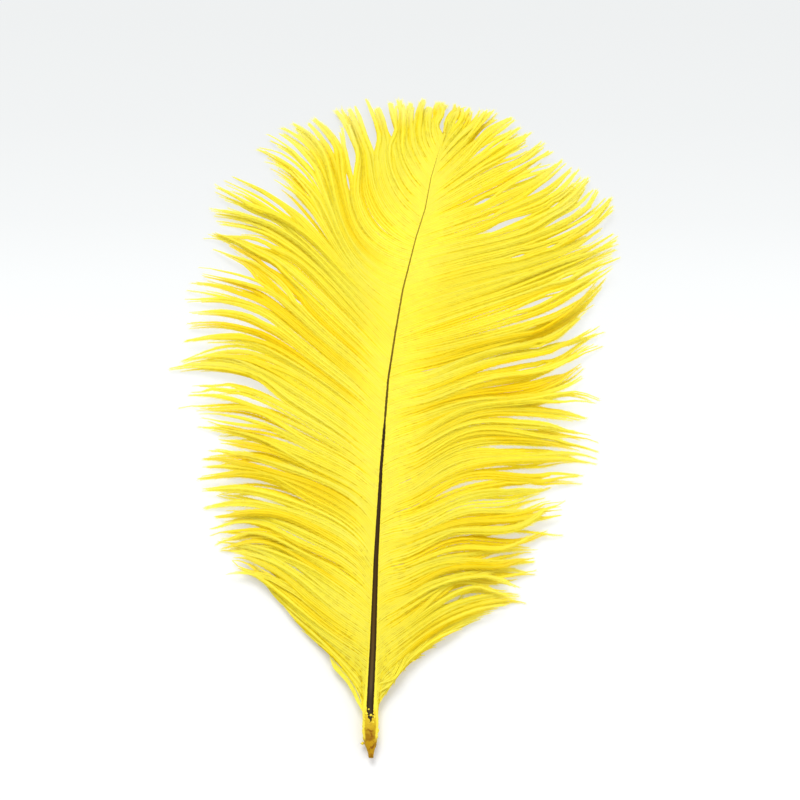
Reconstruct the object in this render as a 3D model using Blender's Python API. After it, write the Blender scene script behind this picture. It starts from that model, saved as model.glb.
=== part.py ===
# Ostrich feather lying on a table, modelled in metres with +Z up.
# The shaft runs along +Y, the torn quill end is at -Y, and the origin is at the
# bottom centre of the bounding box. One grown piece, so one closed solid.

import bmesh
import bpy
import numpy as np
from mathutils import Vector

MM = 0.001

# Place of the quill end, which is the zero of all plan measures below
QUILL_END_X = -6.3 * MM
QUILL_END_Y = -91.8 * MM

# Shaft: station along the feather, sideways offset, height of the centre line, radius
QUILL_RADIUS = 1.85
QUILL_REST_HEIGHT = QUILL_RADIUS * np.cos(np.pi / 8)
SHAFT = (
    (0.0, 0.0, QUILL_REST_HEIGHT, 0.55),
    (2.4, -0.1, QUILL_REST_HEIGHT, 0.65),
    (3.2, -0.2, QUILL_REST_HEIGHT, QUILL_RADIUS),
    (10.0, -0.2, QUILL_REST_HEIGHT, QUILL_RADIUS),
    (11.5, -0.2, 1.75, 1.8),
    (25.0, 0.5, 4.1, 1.4),
    (46.0, 1.1, 6.6, 1.1),
    (69.0, 2.2, 7.8, 0.85),
    (81.0, 3.0, 8.0, 0.7),
    (93.0, 3.8, 8.0, 0.6),
    (106.0, 5.5, 7.8, 0.55),
    (119.0, 7.4, 7.4, 0.5),
    (135.0, 10.8, 6.9, 0.45),
    (144.0, 13.2, 6.6, 0.42),
    (154.0, 14.8, 6.2, 0.4),
    (168.0, 18.3, 5.5, 0.35),
    (173.0, 19.5, 5.2, 0.25),
)
SHAFT_SIDES_RESOLUTION = 2
SHAFT_TILT = np.pi / 8

# Each lock of barbs: station of its root on the shaft, middle point, tip, in mm
# from the quill end. Listed from the quill to the top of the feather.
LEFT_LOCKS = (
    (10.5, (-4, 17), (-8, 23)),
    (13.5, (-6, 21), (-12, 27)),
    (16.5, (-8, 26), (-16.5, 31)),
    (19.5, (-11, 30), (-20, 36)),
    (22.5, (-14, 34.5), (-24, 42)),
    (25.5, (-16.5, 39), (-26, 45.5)),
    (29.5, (-19, 43), (-34.5, 44.5)),
    (34.5, (-21, 49), (-39.5, 51)),
    (38, (-22.5, 52.5), (-40, 55)),
    (42, (-24, 58), (-39, 60)),
    (46, (-24, 63.5), (-40.5, 63)),
    (49, (-23, 66.5), (-41.5, 66.5)),
    (53, (-22, 71), (-42.5, 71)),
    (57, (-21, 75), (-40, 75.5)),
    (61, (-22, 80.5), (-41, 81.5)),
    (63.5, (-21.5, 83), (-43.5, 84)),
    (66, (-20.5, 84.5), (-44, 88)),
    (68.5, (-20, 87), (-48.5, 90)),
    (71.5, (-20, 90), (-46.5, 94)),
    (75, (-22, 95), (-51.5, 98.5)),
    (79, (-20.5, 99), (-48, 102.5)),
    (83, (-21, 104), (-49, 109)),
    (86, (-21.5, 107), (-50.5, 112)),
    (90, (-21.5, 112), (-49, 117.5)),
    (94, (-22, 116), (-48.5, 124)),
    (97, (-22, 119), (-45.5, 128)),
    (100, (-21, 122), (-45, 131)),
    (103, (-21, 126), (-42, 137.5)),
    (106, (-21, 130), (-45, 141.5)),
    (109, (-21.5, 134), (-43, 148)),
    (112, (-22, 139), (-41.5, 155)),
    (115.5, (-20, 142), (-41.5, 160)),
    (120, (-17, 147), (-32, 168)),
    (124.5, (-14.5, 151), (-31.5, 172)),
    (128.5, (-8.5, 147), (-24, 175)),
    (133, (-7, 153), (-19, 177.5)),
    (139, (-3, 159), (-9.5, 179)),
    (147, (3.5, 166), (-1.5, 182)),
    (154, (9, 169), (6.5, 183)),
    (162, (14, 172), (13.5, 183.5)),
)
RIGHT_LOCKS = (
    (10, (1.7, 13), (3.3, 15.5)),
    (13.5, (5.5, 19.5), (8, 23.5)),
    (16.5, (9.5, 24.5), (13.5, 26.5)),
    (19.5, (14.5, 27), (20, 30.5)),
    (22.5, (18, 32), (26, 34)),
    (25, (23, 34.5), (31.5, 37)),
    (28.5, (26, 37.5), (37.5, 38.5)),
    (34, (25.5, 42), (33, 43.5)),
    (37, (30, 45), (39, 46)),
    (40, (26, 48.5), (39.5, 51.5)),
    (43, (26, 51.5), (43, 57.5)),
    (47, (28, 55), (45.5, 59.5)),
    (50.5, (29.5, 58.5), (48.5, 60.5)),
    (55.5, (30.5, 61.5), (44, 69)),
    (59, (30.5, 69.5), (52, 70)),
    (62, (32, 72.5), (56, 72)),
    (67, (33, 77.5), (56, 78.5)),
    (72, (29, 83.5), (53, 84)),
    (76, (31, 87.5), (57.5, 89.5)),
    (79, (30, 89), (46, 91.5)),
    (82.5, (34, 91), (52.5, 99)),
    (86, (36, 93.5), (52.5, 101.5)),
    (89, (38, 97), (55.5, 106)),
    (92.5, (40, 101), (57.5, 109)),
    (97.5, (41, 106), (59, 112.5)),
    (103, (41, 112), (54.5, 118)),
    (107, (42, 116.5), (56.5, 122.5)),
    (110.5, (44, 121), (59, 127)),
    (114, (45, 126), (63, 132)),
    (118.5, (46, 131), (64, 139)),
    (122, (45, 134.5), (62, 143)),
    (125, (45, 138), (63, 148.5)),
    (128.5, (44, 141), (62, 152.5)),
    (133, (42, 146), (57, 155.5)),
    (137.5, (40, 153), (54, 161)),
    (143, (37, 159), (47.5, 167.5)),
    (148.5, (33, 164.5), (42, 173)),
    (154, (29, 168), (36.5, 176.5)),
    (159, (25.5, 170.5), (30.5, 180)),
    (165, (20.5, 172.5), (24, 181.5)),
)

LOCK_WIDTH = 6.0
LOCK_THICKNESS = 0.9
LOCK_ROOT_DROP = 0.15
LOCK_ROOT_OVERLAP = 0.4
MIDDLE_SHARE_MIN = 0.35
MIDDLE_SHARE_MAX = 0.65
# Stations along a lock and its width there, as shares of its length and full width
LOCK_PROFILE = (
    (0.0, 0.72),
    (0.16, 0.95),
    (0.34, 1.0),
    (0.52, 0.95),
    (0.68, 0.78),
    (0.83, 0.5),
    (0.94, 0.24),
    (1.0, 0.09),
)
# Heights of the tips above the table, taken in turn so that neighbours overlap
LEFT_TIP_HEIGHTS = (0.1, 2.4, 1.2, 3.2)
RIGHT_TIP_HEIGHTS = (0.1, 1.6, 2.8, 0.9)
MERGE_DISTANCE = 0.00001
SHARP_ANGLE = np.radians(35)

SHAFT_STATIONS = np.array([row[0] for row in SHAFT])
SHAFT_OFFSETS = np.array([row[1] for row in SHAFT])
SHAFT_HEIGHTS = np.array([row[2] for row in SHAFT])
SHAFT_RADII = np.array([row[3] for row in SHAFT])


def clear_scene():
    for old in list(bpy.data.objects):
        bpy.data.objects.remove(old, do_unlink=True)


def new_collection(name):
    group = bpy.data.collections.new(name)
    bpy.context.scene.collection.children.link(group)
    return group


def plan_to_world(point):
    """A point in mm from the quill end becomes a place in metres."""
    x, y, z = point
    return Vector((QUILL_END_X + x * MM, QUILL_END_Y + y * MM, z * MM))


def shaft_point(station):
    return np.array(
        (
            np.interp(station, SHAFT_STATIONS, SHAFT_OFFSETS),
            station,
            np.interp(station, SHAFT_STATIONS, SHAFT_HEIGHTS),
        )
    )


def lock_path(root_station, middle, tip, tip_height):
    """Points along a lock: a parabola in plan that droops more towards its tip."""
    root = shaft_point(root_station)
    root[2] -= LOCK_ROOT_DROP
    middle = np.array(middle, float)
    tip = np.array(tip, float)
    inner = np.linalg.norm(middle - root[:2])
    outer = np.linalg.norm(tip - middle)
    share = float(np.clip(inner / (inner + outer), MIDDLE_SHARE_MIN, MIDDLE_SHARE_MAX))
    bend = middle - (1 - share) ** 2 * root[:2] - share**2 * tip
    bend /= 2 * share * (1 - share)
    away = (bend - root[:2]) / np.linalg.norm(bend - root[:2])
    start = root[:2] - away * LOCK_ROOT_OVERLAP
    points = []
    for t, _ in LOCK_PROFILE:
        plan = (1 - t) ** 2 * start + 2 * t * (1 - t) * bend + t**2 * tip
        height = root[2] + (tip_height - root[2]) * t**2
        points.append((plan[0], plan[1], height))
    return points


def curve_object(name, points, radii, tilt=0.0):
    """A straight-segment curve through the points, each with its own radius."""
    data = bpy.data.curves.new(name, "CURVE")
    data.dimensions = "3D"
    data.twist_mode = "Z_UP"
    data.use_fill_caps = True
    spline = data.splines.new("POLY")
    spline.points.add(len(points) - 1)
    for target, point, radius in zip(spline.points, points, radii):
        target.co = (*plan_to_world(point), 1.0)
        target.radius = radius
        target.tilt = tilt
    curve = bpy.data.objects.new(name, data)
    bpy.context.scene.collection.objects.link(curve)
    return curve


def to_mesh_object(curve, collection):
    """The curve becomes a closed mesh with its caps welded on."""
    bpy.context.view_layer.update()
    graph = bpy.context.evaluated_depsgraph_get()
    mesh = bpy.data.meshes.new_from_object(curve.evaluated_get(graph))
    work = bmesh.new()
    work.from_mesh(mesh)
    bmesh.ops.remove_doubles(work, verts=work.verts, dist=MERGE_DISTANCE)
    bmesh.ops.recalc_face_normals(work, faces=work.faces)
    work.to_mesh(mesh)
    work.free()
    name = curve.name
    place = curve.matrix_world.copy()
    bpy.data.objects.remove(curve, do_unlink=True)
    solid = bpy.data.objects.new(name, mesh)
    solid.matrix_world = place
    collection.objects.link(solid)
    return solid


def lock_profile():
    """The flat diamond that is swept along every lock."""
    data = bpy.data.curves.new("lock_profile", "CURVE")
    data.dimensions = "2D"
    data.fill_mode = "NONE"
    spline = data.splines.new("POLY")
    half_width = LOCK_WIDTH / 2 * MM
    half_thickness = LOCK_THICKNESS / 2 * MM
    corners = ((half_width, 0), (0, half_thickness), (-half_width, 0), (0, -half_thickness))
    spline.points.add(len(corners) - 1)
    for target, corner in zip(spline.points, corners):
        target.co = (*corner, 0.0, 1.0)
    spline.use_cyclic_u = True
    profile = bpy.data.objects.new("lock_profile", data)
    bpy.context.scene.collection.objects.link(profile)
    profile.hide_render = True
    profile.display_type = "WIRE"
    return profile


def make_shaft(collection):
    points = [row[:3] for row in SHAFT]
    points = [(offset, station, height) for station, offset, height in points]
    curve = curve_object("feather", points, SHAFT_RADII, SHAFT_TILT)
    curve.data.bevel_depth = MM
    curve.data.bevel_resolution = SHAFT_SIDES_RESOLUTION
    return to_mesh_object(curve, collection)


def make_locks(side, locks, tip_heights, profile, collection):
    widths = [width for _, width in LOCK_PROFILE]
    for number, (root, middle, tip) in enumerate(locks):
        height = tip_heights[number % len(tip_heights)]
        points = lock_path(root, middle, tip, height)
        curve = curve_object(f"{side}_lock_{number + 1}", points, widths)
        curve.data.bevel_mode = "OBJECT"
        curve.data.bevel_object = profile
        lock = to_mesh_object(curve, collection)
        lock.hide_render = True
        lock.display_type = "WIRE"


def feather_material():
    material = bpy.data.materials.new("dyed_yellow_barbs")
    material.use_nodes = True
    shader = material.node_tree.nodes["Principled BSDF"]
    shader.inputs["Base Color"].default_value = (0.95, 0.72, 0.04, 1.0)
    shader.inputs["Roughness"].default_value = 0.6
    shader.inputs["Metallic"].default_value = 0.0
    return material


def main():
    clear_scene()
    feather_parts = new_collection("ostrich_feather")
    grown_on = new_collection("grown_on_the_shaft")
    feather = make_shaft(feather_parts)
    profile = lock_profile()
    make_locks("left", LEFT_LOCKS, LEFT_TIP_HEIGHTS, profile, grown_on)
    make_locks("right", RIGHT_LOCKS, RIGHT_TIP_HEIGHTS, profile, grown_on)
    bpy.data.objects.remove(profile, do_unlink=True)
    union = feather.modifiers.new("grow_locks", "BOOLEAN")
    union.operation = "UNION"
    union.operand_type = "COLLECTION"
    union.collection = grown_on
    union.solver = "EXACT"
    feather.data.materials.append(feather_material())
    feather.data.shade_smooth()
    feather.data.set_sharp_from_angle(angle=SHARP_ANGLE)


main()
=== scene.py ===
import math
from functools import partial

import bmesh
import bpy
import numpy as np
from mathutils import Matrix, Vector


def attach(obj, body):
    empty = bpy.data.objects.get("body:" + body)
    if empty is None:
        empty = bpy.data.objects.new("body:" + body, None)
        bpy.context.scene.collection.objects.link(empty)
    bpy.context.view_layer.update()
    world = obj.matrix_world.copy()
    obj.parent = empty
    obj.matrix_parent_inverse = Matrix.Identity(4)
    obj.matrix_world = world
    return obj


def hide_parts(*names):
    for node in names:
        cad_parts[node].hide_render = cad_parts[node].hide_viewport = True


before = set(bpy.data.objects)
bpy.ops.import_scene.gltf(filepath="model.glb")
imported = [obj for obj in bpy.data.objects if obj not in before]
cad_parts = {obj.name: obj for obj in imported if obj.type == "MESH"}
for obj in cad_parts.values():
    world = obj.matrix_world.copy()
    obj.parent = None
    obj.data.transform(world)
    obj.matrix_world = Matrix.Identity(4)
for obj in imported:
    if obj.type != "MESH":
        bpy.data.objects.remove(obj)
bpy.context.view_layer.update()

mm = 0.001

# Plan measures are millimetres from the quill end, x to the right and y towards the tip
quillEnd = {"x": -6.3, "y": -91.8}

# Shaft: station along the feather, sideways offset, height of the centre line, half width
shaftLine = [
    (0.0, 0.2, 1.6, 0.55), (1.2, 0.15, 1.6, 0.7), (2.4, 0.1, 1.65, 1.15), (3.6, 0.0, 1.7, 1.5),
    (5.0, 0.0, 1.72, 1.7), (8.0, 0.0, 1.76, 1.82), (11.5, -0.1, 1.88, 1.78), (16, 0.1, 2.7, 1.45),
    (25, 0.5, 4.3, 1.12), (46, 1.1, 6.8, 0.82), (69, 2.2, 7.9, 0.6), (81, 3.0, 8.1, 0.5),
    (93, 3.8, 8.15, 0.42), (106, 5.5, 8.0, 0.38), (119, 7.4, 7.6, 0.34), (135, 10.8, 7.1, 0.28),
    (144, 13.2, 6.8, 0.25), (154, 14.8, 6.4, 0.22), (168, 18.3, 5.7, 0.14), (173, 19.5, 5.4, 0.07),
]

# How the barbs run: station of the root, then x, y about a third and two thirds along, and at the end
leftFlow = [
    (11.5, -3.5, 17.4, -7.1, 23, -13, 28.2), (15, -7.5, 24, -15.8, 32.3, -24.8, 43.2),
    (19.6, -8.7, 26.5, -18.2, 34.4, -29.2, 46.8), (23.2, -10.4, 30.2, -19.4, 38, -32.6, 48.8),
    (30.4, -10, 38.3, -19.6, 46.7, -34.6, 51.4), (36.3, -11.3, 46.1, -21.6, 51.7, -39.4, 52.2),
    (43.9, -10.2, 54.5, -22.8, 60.3, -40.9, 62.9), (49.1, -10.3, 60.6, -23, 67.3, -42.7, 70.4),
    (55.6, -9.9, 66.2, -23.4, 73.1, -41, 76.1), (60.2, -11.7, 69.9, -23.5, 77.1, -41.4, 84.6),
    (65.6, -10.6, 75.9, -23, 83.6, -44.6, 88.8), (70.8, -11.2, 82.3, -25, 94.1, -50.4, 99.5),
    (77.4, -9.6, 88.9, -22.2, 99.4, -48.4, 103.5), (84.2, -11, 98.6, -24.8, 111.5, -49.8, 120.7),
    (92.2, -9.9, 106.9, -22.9, 122, -42.2, 138), (100.9, -7.5, 117.1, -21.7, 133.5, -45.3, 142.6),
    (109.6, -7.4, 124.6, -20, 139.6, -42, 156.1), (118.5, -6.5, 131.6, -14.4, 154, -30.6, 171.9),
    (124.5, -4.7, 134.7, -9.9, 154.7, -19.8, 179.2), (129.4, -3, 139.1, -7.6, 158.6, -15.3, 179.8),
    (135.6, 2.9, 145.3, -2.7, 161.2, -9.6, 181.8), (142.1, 5.5, 151.1, 1.8, 164.5, -2.9, 182.8),
    (148.5, 8.4, 156.9, 5, 167.8, 2.8, 184.2), (154.9, 11, 162.5, 8.4, 171.8, 7.1, 184.2),
    (159.9, 13.2, 165.8, 11.9, 174.6, 12.3, 184.8), (164.8, 16.2, 170.2, 16.3, 176.6, 16.2, 185),
    (168.5, 17.7, 173, 18, 178, 18, 184.3), (172.5, 19.1, 176, 19.3, 179.6, 19.6, 183.4),
]
# Locks round the rim: station of the root, then x, y of the tip
leftLocks = [
    (10.8, -7.4, 22.6), (11.8, -13.2, 27.4), (12.8, -16.6, 30.8), (13.8, -20, 36.2), (14.8, -24, 42),
    (16.2, -24.8, 44.4), (19.4, -28, 47.4), (22.4, -32.5, 48.8), (26.5, -34.5, 50),
    (28.6, -34.5, 50.7), (30.6, -36.5, 51), (33.6, -37, 52.2), (36.2, -39.5, 51), (38.3, -40, 55),
    (40.2, -38, 58), (42.4, -39, 61), (43.9, -40.5, 63), (46.4, -41.5, 66.5), (48, -41.5, 69),
    (50.3, -42.5, 71.5), (52.8, -41.5, 73.6), (55.3, -40, 75.5), (56.8, -37.5, 78.5), (58.5, -41, 81.5),
    (61, -43.5, 84), (64.6, -44, 88), (66.8, -48.5, 90), (67.9, -46.5, 94), (70.6, -51.5, 98.5),
    (73.5, -49.7, 100.8), (76.4, -48, 102.5), (79.6, -49, 109), (80.8, -50.5, 112), (82.7, -49, 117),
    (84.1, -48.5, 120.5), (85.7, -48.5, 124), (87.8, -45.5, 128), (89, -45, 131), (92, -42, 137.5),
    (94.5, -43, 139), (96.9, -43.9, 140.3), (99.3, -45, 141.5), (101.9, -44.4, 144.4),
    (104.5, -43, 148), (106.8, -42.6, 151.6), (109, -41.5, 155), (111.2, -41.5, 160), (113.9, -30, 159),
    (116.7, -32, 168), (118.4, -29.6, 170.6), (120.3, -26, 173.8), (122.6, -22.3, 175),
    (126.6, -16.6, 177.8), (130.2, -11.9, 179.6), (133.4, -8.4, 181.4), (138.8, -2.1, 183),
    (144.6, 3.6, 182.6), (149.4, 6.8, 183.2), (153.6, 9.6, 182.8), (157.8, 13.1, 183.4), (163, 16.5, 183.2),
]
rightFlow = [
    (11.5, 3.7, 15.8, 9.4, 22.9, 19.2, 29.5), (15.5, 6.3, 21.8, 13.7, 28.4, 27.9, 37.2),
    (21.8, 7.5, 27.3, 18.4, 35.8, 36.6, 38.9), (28, 8.6, 33.9, 18.5, 40.7, 32.7, 43.5),
    (35.8, 9.8, 40.8, 21.6, 45, 38.5, 46.8), (41, 9.8, 44.9, 22.8, 49, 37.9, 51.4),
    (45.1, 11, 50.6, 23.4, 54.5, 47.6, 61.9), (49.6, 10.5, 53, 24.1, 58.1, 45.3, 62.7),
    (53.1, 10.3, 56.3, 23.5, 61.5, 43, 65.8), (55.4, 12.2, 62, 25, 67.5, 49.9, 69.9),
    (58.2, 13.5, 65.4, 28, 71.7, 55.4, 72.8), (64.3, 14, 71.9, 28.2, 78.2, 52.7, 76.3),
    (70.5, 14, 77.2, 27.5, 82.7, 53.4, 81.3), (74.8, 13.8, 80.4, 26.4, 86.8, 56.8, 89.9),
    (79, 14.8, 85.3, 33.3, 89.9, 52, 99.2), (83.6, 16.1, 88.9, 33.5, 94.9, 54.1, 106.4),
    (88.3, 16.6, 93.6, 34.1, 101.4, 58.4, 112.5), (93, 17.4, 98.3, 35.7, 105.4, 55.3, 121.6),
    (98.4, 18.7, 102.9, 37.6, 108.9, 58.6, 127), (101.5, 20, 106.4, 41.6, 115.9, 62.5, 131.5),
    (104.9, 20, 111.3, 40.5, 120.9, 63.7, 134.3), (109.6, 20.1, 116, 41.9, 125.7, 63.9, 138.9),
    (116.1, 18.9, 121.4, 40.8, 129.4, 62.4, 143.8), (122.1, 20.3, 127.4, 41.8, 135.2, 62.3, 153.2),
    (127.6, 21.1, 131.7, 41.2, 139.8, 57.5, 156.7), (131.8, 20.4, 135.8, 39.3, 145.1, 54.7, 159.9),
    (138.7, 19.7, 143.2, 35.6, 153.6, 49.1, 165.1), (145.3, 19.3, 150.5, 31.4, 161.4, 43.8, 172.6),
    (150.1, 19.9, 156.3, 27, 165.6, 36.7, 177.5), (153.9, 18.9, 159.6, 24.6, 167.3, 32.7, 179.8),
    (159.9, 18.4, 164.9, 22.3, 171.9, 27.4, 182.8), (164.8, 18.6, 169.5, 20.4, 176, 23.2, 183.4),
    (168.5, 19.3, 172.6, 20.4, 177.4, 21.9, 183.2), (172.5, 19.9, 176, 20.3, 179.6, 21, 183.2),
]
rightLocks = [
    (10.3, 5.1, 16.6), (11.3, 10.2, 22.3), (12.3, 15.4, 26.2), (13.3, 21.3, 30.4), (14.4, 26.7, 34.2),
    (17.6, 31.5, 37), (21.2, 37.5, 38.5), (25.8, 32.5, 40.5), (28.3, 33, 43.5), (30.8, 34.9, 44.5),
    (33.3, 36.8, 45.4), (35.8, 39, 46), (38.6, 38.7, 49), (41.4, 39.5, 51.5), (43.3, 43, 57.5),
    (44.3, 45.5, 59.5), (45.3, 48.5, 60.5), (48.2, 45.9, 62.1), (51, 43, 63), (53.8, 44, 69),
    (56.2, 52, 70), (58.1, 56, 72), (61.1, 54.2, 74.3), (64.1, 52.5, 76), (67.6, 56, 78.5),
    (70.1, 53, 81), (72.3, 53, 85.5), (74.7, 57.5, 89.5), (77.4, 46, 91.5), (78.9, 52.5, 99),
    (80.5, 52.5, 101.5), (84, 55.5, 106), (85.7, 57.5, 108), (87.1, 57, 111), (88.3, 59, 112.5),
    (91.5, 54.5, 118), (94.2, 56.5, 122.5), (96.3, 57.6, 124.9), (98.5, 59, 127), (101.3, 62.5, 131),
    (104.6, 63.5, 134), (107.2, 63.8, 136.5), (109.7, 64, 139), (112.5, 63.1, 141), (115.2, 62, 143),
    (119.1, 63, 148.5), (121.7, 62, 152.5), (124.5, 59.9, 154.4), (127.3, 57, 155.5),
    (129.3, 56.2, 157.8), (131.4, 55, 159.5), (134.4, 52.6, 161.8), (137.5, 50, 164),
    (140.8, 47.5, 167.5), (142.9, 45.5, 169.7), (145, 43, 171.5), (147.5, 40, 174),
    (149.8, 36.5, 177.3), (152.3, 34, 178.6), (154.6, 32.3, 179.6), (157.4, 29.6, 180.6),
    (160, 25.6, 180.9), (163.4, 23, 181.8),
]
# Partings where the floor shows between strands: half width, 1 if open at the rim, then points x, y
partings = [
    (1.3, 1, [(-3.1, 152.2), (-4, 157.2), (-6.1, 165), (-9.1, 171.2), (-12, 175.3)]),
    (0.6, 1, [(-8.3, 158.5), (-9.6, 163.9), (-12.4, 168.1), (-15.3, 171.9), (-17.5, 174.5)]),
    (1.5, 1, [(0.9, 162.6), (-0.2, 168.8), (-1.6, 174), (-3.2, 179.5)]),
    (0.31, 0, [(-5.9, 149.2), (-7, 154.5), (-8.2, 159.2)]),
    (1.1, 1, [(5.2, 166.2), (4.5, 170.8), (3.6, 175.3), (2.6, 179.6)]),
    (0.37, 1, [(6.8, 172.9), (6.6, 176.9), (6, 179.6)]),
    (0.48, 1, [(11.3, 171.4), (10.8, 176.7), (10.9, 180.7)]),
    (0.2, 1, [(15.9, 173.2), (15.4, 177.8), (14.9, 181.2)]),
    (0.27, 1, [(20.6, 171), (22, 175), (23.1, 178)]),
    (0.48, 1, [(23.5, 164.9), (27, 169), (29.7, 173.1), (33, 175.9)]),
    (0.26, 0, [(28.4, 163.1), (32.8, 167.7), (36.1, 171.1)]),
    (0.26, 0, [(28.9, 160.5), (33.5, 165.4), (37.9, 169.6)]),
    (0.45, 1, [(32.6, 160.1), (37.5, 164), (41.3, 168.2)]),
    (0.45, 1, [(33.6, 156.9), (38.4, 160.5), (43.4, 165.1)]),
    (0.42, 1, [(37.7, 154.7), (42.6, 158.9), (47.6, 163.8)]),
    (0.83, 1, [(38.1, 148.3), (42, 151.1), (46.8, 155.6), (51.2, 160.8)]),
    (0.60, 0, [(23.9, 144.4), (28.1, 147.3), (32.3, 151)]), (0.26, 0, [(28.5, 141.4), (31.9, 144.5)]),
    (0.78, 0, [(24.7, 135), (28.6, 136.8), (32.9, 140.5), (37.4, 143.1), (42.4, 146)]),
    (0.36, 0, [(45.1, 147.1), (48.9, 149)]),
    (0.83, 1, [(39.7, 138.2), (43.9, 140.8), (48.6, 143.6), (53.4, 146.6), (58, 151)]),
    (0.44, 1, [(38.9, 134.1), (44.4, 136.4), (48.7, 139.2), (53, 141.8)]),
    (0.36, 0, [(43, 133), (48.4, 136.2)]), (0.38, 0, [(34.4, 129.5), (39.4, 132)]),
    (0.46, 1, [(51.7, 133.8), (56, 137.3), (59.3, 140.9)]),
    (0.55, 0, [(45.8, 122.9), (49.2, 125.4), (53, 127.8)]),
    (0.83, 0, [(33.5, 113.3), (36.3, 114.6), (40.7, 116.8), (45.4, 120.2), (48.9, 123.2)]),
    (0.46, 1, [(55.8, 127.2), (59.8, 129.7)]), (0.35, 0, [(37.1, 106.7), (41, 109.4), (44.9, 112.4)]),
    (0.25, 0, [(39.5, 103.9), (42.9, 106.5)]), (0.25, 0, [(34.5, 96.4), (37.1, 97.7), (40.4, 100.6)]),
    (0.2, 0, [(40.8, 98.1), (43.5, 102.3)]), (0.45, 1, [(46.9, 106.3), (50.7, 109.6), (53.8, 111.6)]),
    (0.2, 0, [(45, 102.2), (49.5, 106.3)]), (0.25, 1, [(45, 95.7), (48.2, 99.4), (51.9, 102.9)]),
    (0.64, 1, [(40.3, 88.1), (44.8, 89.3), (50.4, 91.5)]), (0.39, 1, [(45.4, 79.3), (52.8, 80.4)]),
    (0.44, 1, [(44.5, 82.5), (50.6, 84)]), (0.43, 1, [(37.6, 65.9), (40.6, 68), (44.1, 70.6)]),
    (0.34, 0, [(30.3, 65.1), (34.9, 67)]), (0.38, 1, [(38.9, 62.1), (43.8, 62.7)]),
    (0.36, 1, [(38.8, 59.5), (44.2, 60.3)]), (0.61, 1, [(33.7, 48.4), (37.1, 49.6), (40.5, 50.6)]),
    (0.56, 1, [(25.5, 40.3), (29.7, 41.2), (34.5, 42.7)]),
    (0.5, 1, [(-14.5, 148.6), (-18.4, 155.8), (-20.9, 159.9), (-25.3, 164.6), (-29.5, 169.6)]),
    (0.42, 1, [(-13.4, 152.5), (-15.6, 157.6), (-18.4, 161.5), (-21.3, 165.4), (-24.7, 169.3)]),
    (0.9, 1, [(-19, 143.2), (-21.5, 146.5), (-25.2, 151.2), (-30.6, 155.5), (-37.4, 159.6)]),
    (0.4, 1, [(-20.6, 150.8), (-24.4, 155.8), (-28.4, 159.6)]),
    (0.36, 1, [(-19.5, 140.1), (-22.3, 144.4), (-25.5, 148), (-29.4, 151.9), (-34, 155.2)]),
    (0.83, 1, [(-26.7, 142.6), (-30.2, 146.2), (-33.5, 149.4), (-37.4, 152.9)]),
    (0.36, 0, [(-21, 128.6), (-24.3, 133), (-28, 136.8), (-32.1, 140), (-35.3, 141.9)]),
    (0.41, 0, [(-25.8, 133.1), (-29.8, 135.4), (-34.4, 138.7)]),
    (0.46, 0, [(-22.7, 125.7), (-26.2, 128.5), (-30.4, 131.1)]),
    (0.46, 1, [(-32.2, 129.4), (-38.2, 135.4), (-41.9, 138.3)]),
    (1.02, 1, [(-28.9, 124.5), (-34.8, 129.1), (-41.5, 133.4)]),
    (0.71, 1, [(-25.6, 120.2), (-30.1, 123.1), (-34.6, 125.4), (-39.6, 127.2)]),
    (0.35, 0, [(-17.6, 115.5), (-21, 119.4)]), (0.28, 0, [(-27.2, 119.4), (-32.6, 121.5), (-37.5, 120.5)]),
    (0.50, 1, [(-28.5, 113), (-34.2, 115.7), (-38.9, 118), (-43.8, 118.9)]),
    (0.43, 0, [(-23.8, 109.3), (-27.4, 112), (-31.6, 115.1)]),
    (0.43, 1, [(-28.3, 108.9), (-34, 112.1), (-39.2, 113.9), (-44.4, 114.5)]),
    (0.30, 1, [(-33.4, 108), (-38.5, 109.7), (-44.2, 110.4)]),
    (0.9, 1, [(-20.7, 89.9), (-24, 92.5), (-27.8, 94.5), (-31.6, 96.3), (-35.7, 97.5),
              (-40.5, 98.3), (-45.6, 98.3)]),
    (0.27, 0, [(-33.3, 93), (-38.6, 94.1)]), (0.49, 1, [(-40.1, 93.4), (-45.3, 93.8)]),
    (0.54, 1, [(-27.4, 82), (-32.9, 84.4), (-37.4, 85.6), (-42.1, 88)]),
    (0.3, 1, [(-31.3, 75), (-34.9, 77.5), (-38.2, 79.7)]),
    (0.2, 1, [(-32, 70.3), (-36, 71), (-41.5, 71.8)]), (0.34, 1, [(-35.5, 64.4), (-40.9, 65.4)]),
    (0.2, 1, [(-31.5, 60.2), (-36.8, 60.6)]), (0.14, 0, [(-27, 56.1), (-31.3, 56.3), (-36.1, 56.4)]),
    (0.36, 1, [(-30.3, 53.9), (-33.4, 54.1), (-37.6, 55.4)]), (0.3, 1, [(-29.6, 49.3), (-33.9, 49)]),
    (0.38, 1, [(-27.1, 45.4), (-31, 47.1)]),
]
# Loose strands that lie across the others: station of the root, then points x, y along the strand
looseStrands = [
    (12, [(2.4, 14.3), (5.2, 18.4), (7.5, 23.3), (10.5, 27.7), (13.7, 33), (16.6, 38.1), (18.1, 41.7)]),
    (14.5, [(4, 16.3), (6.8, 21.4), (10.9, 26.1), (14.7, 30.8), (18.4, 34.9), (20.6, 37.8), (22.5, 40.9)]),
    (16.5, [(5.2, 18.1), (7.2, 22.5), (9.8, 27.6), (11.2, 32.2), (12.8, 36.9)]),
    (11, [(2.7, 14.6), (7, 21.8), (10, 24.8), (13.2, 26.6), (16.5, 29.1), (19.8, 30.9)]),
    (22, [(-7.5, 30), (-16.5, 38.5), (-24, 43.4), (-30, 45), (-35, 44.6)]),
    (9.8, [(-3.5, 15.1), (-5.1, 18), (-6.8, 20), (-8.2, 21.2), (-8.9, 23), (-9.6, 25)]),
]

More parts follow.
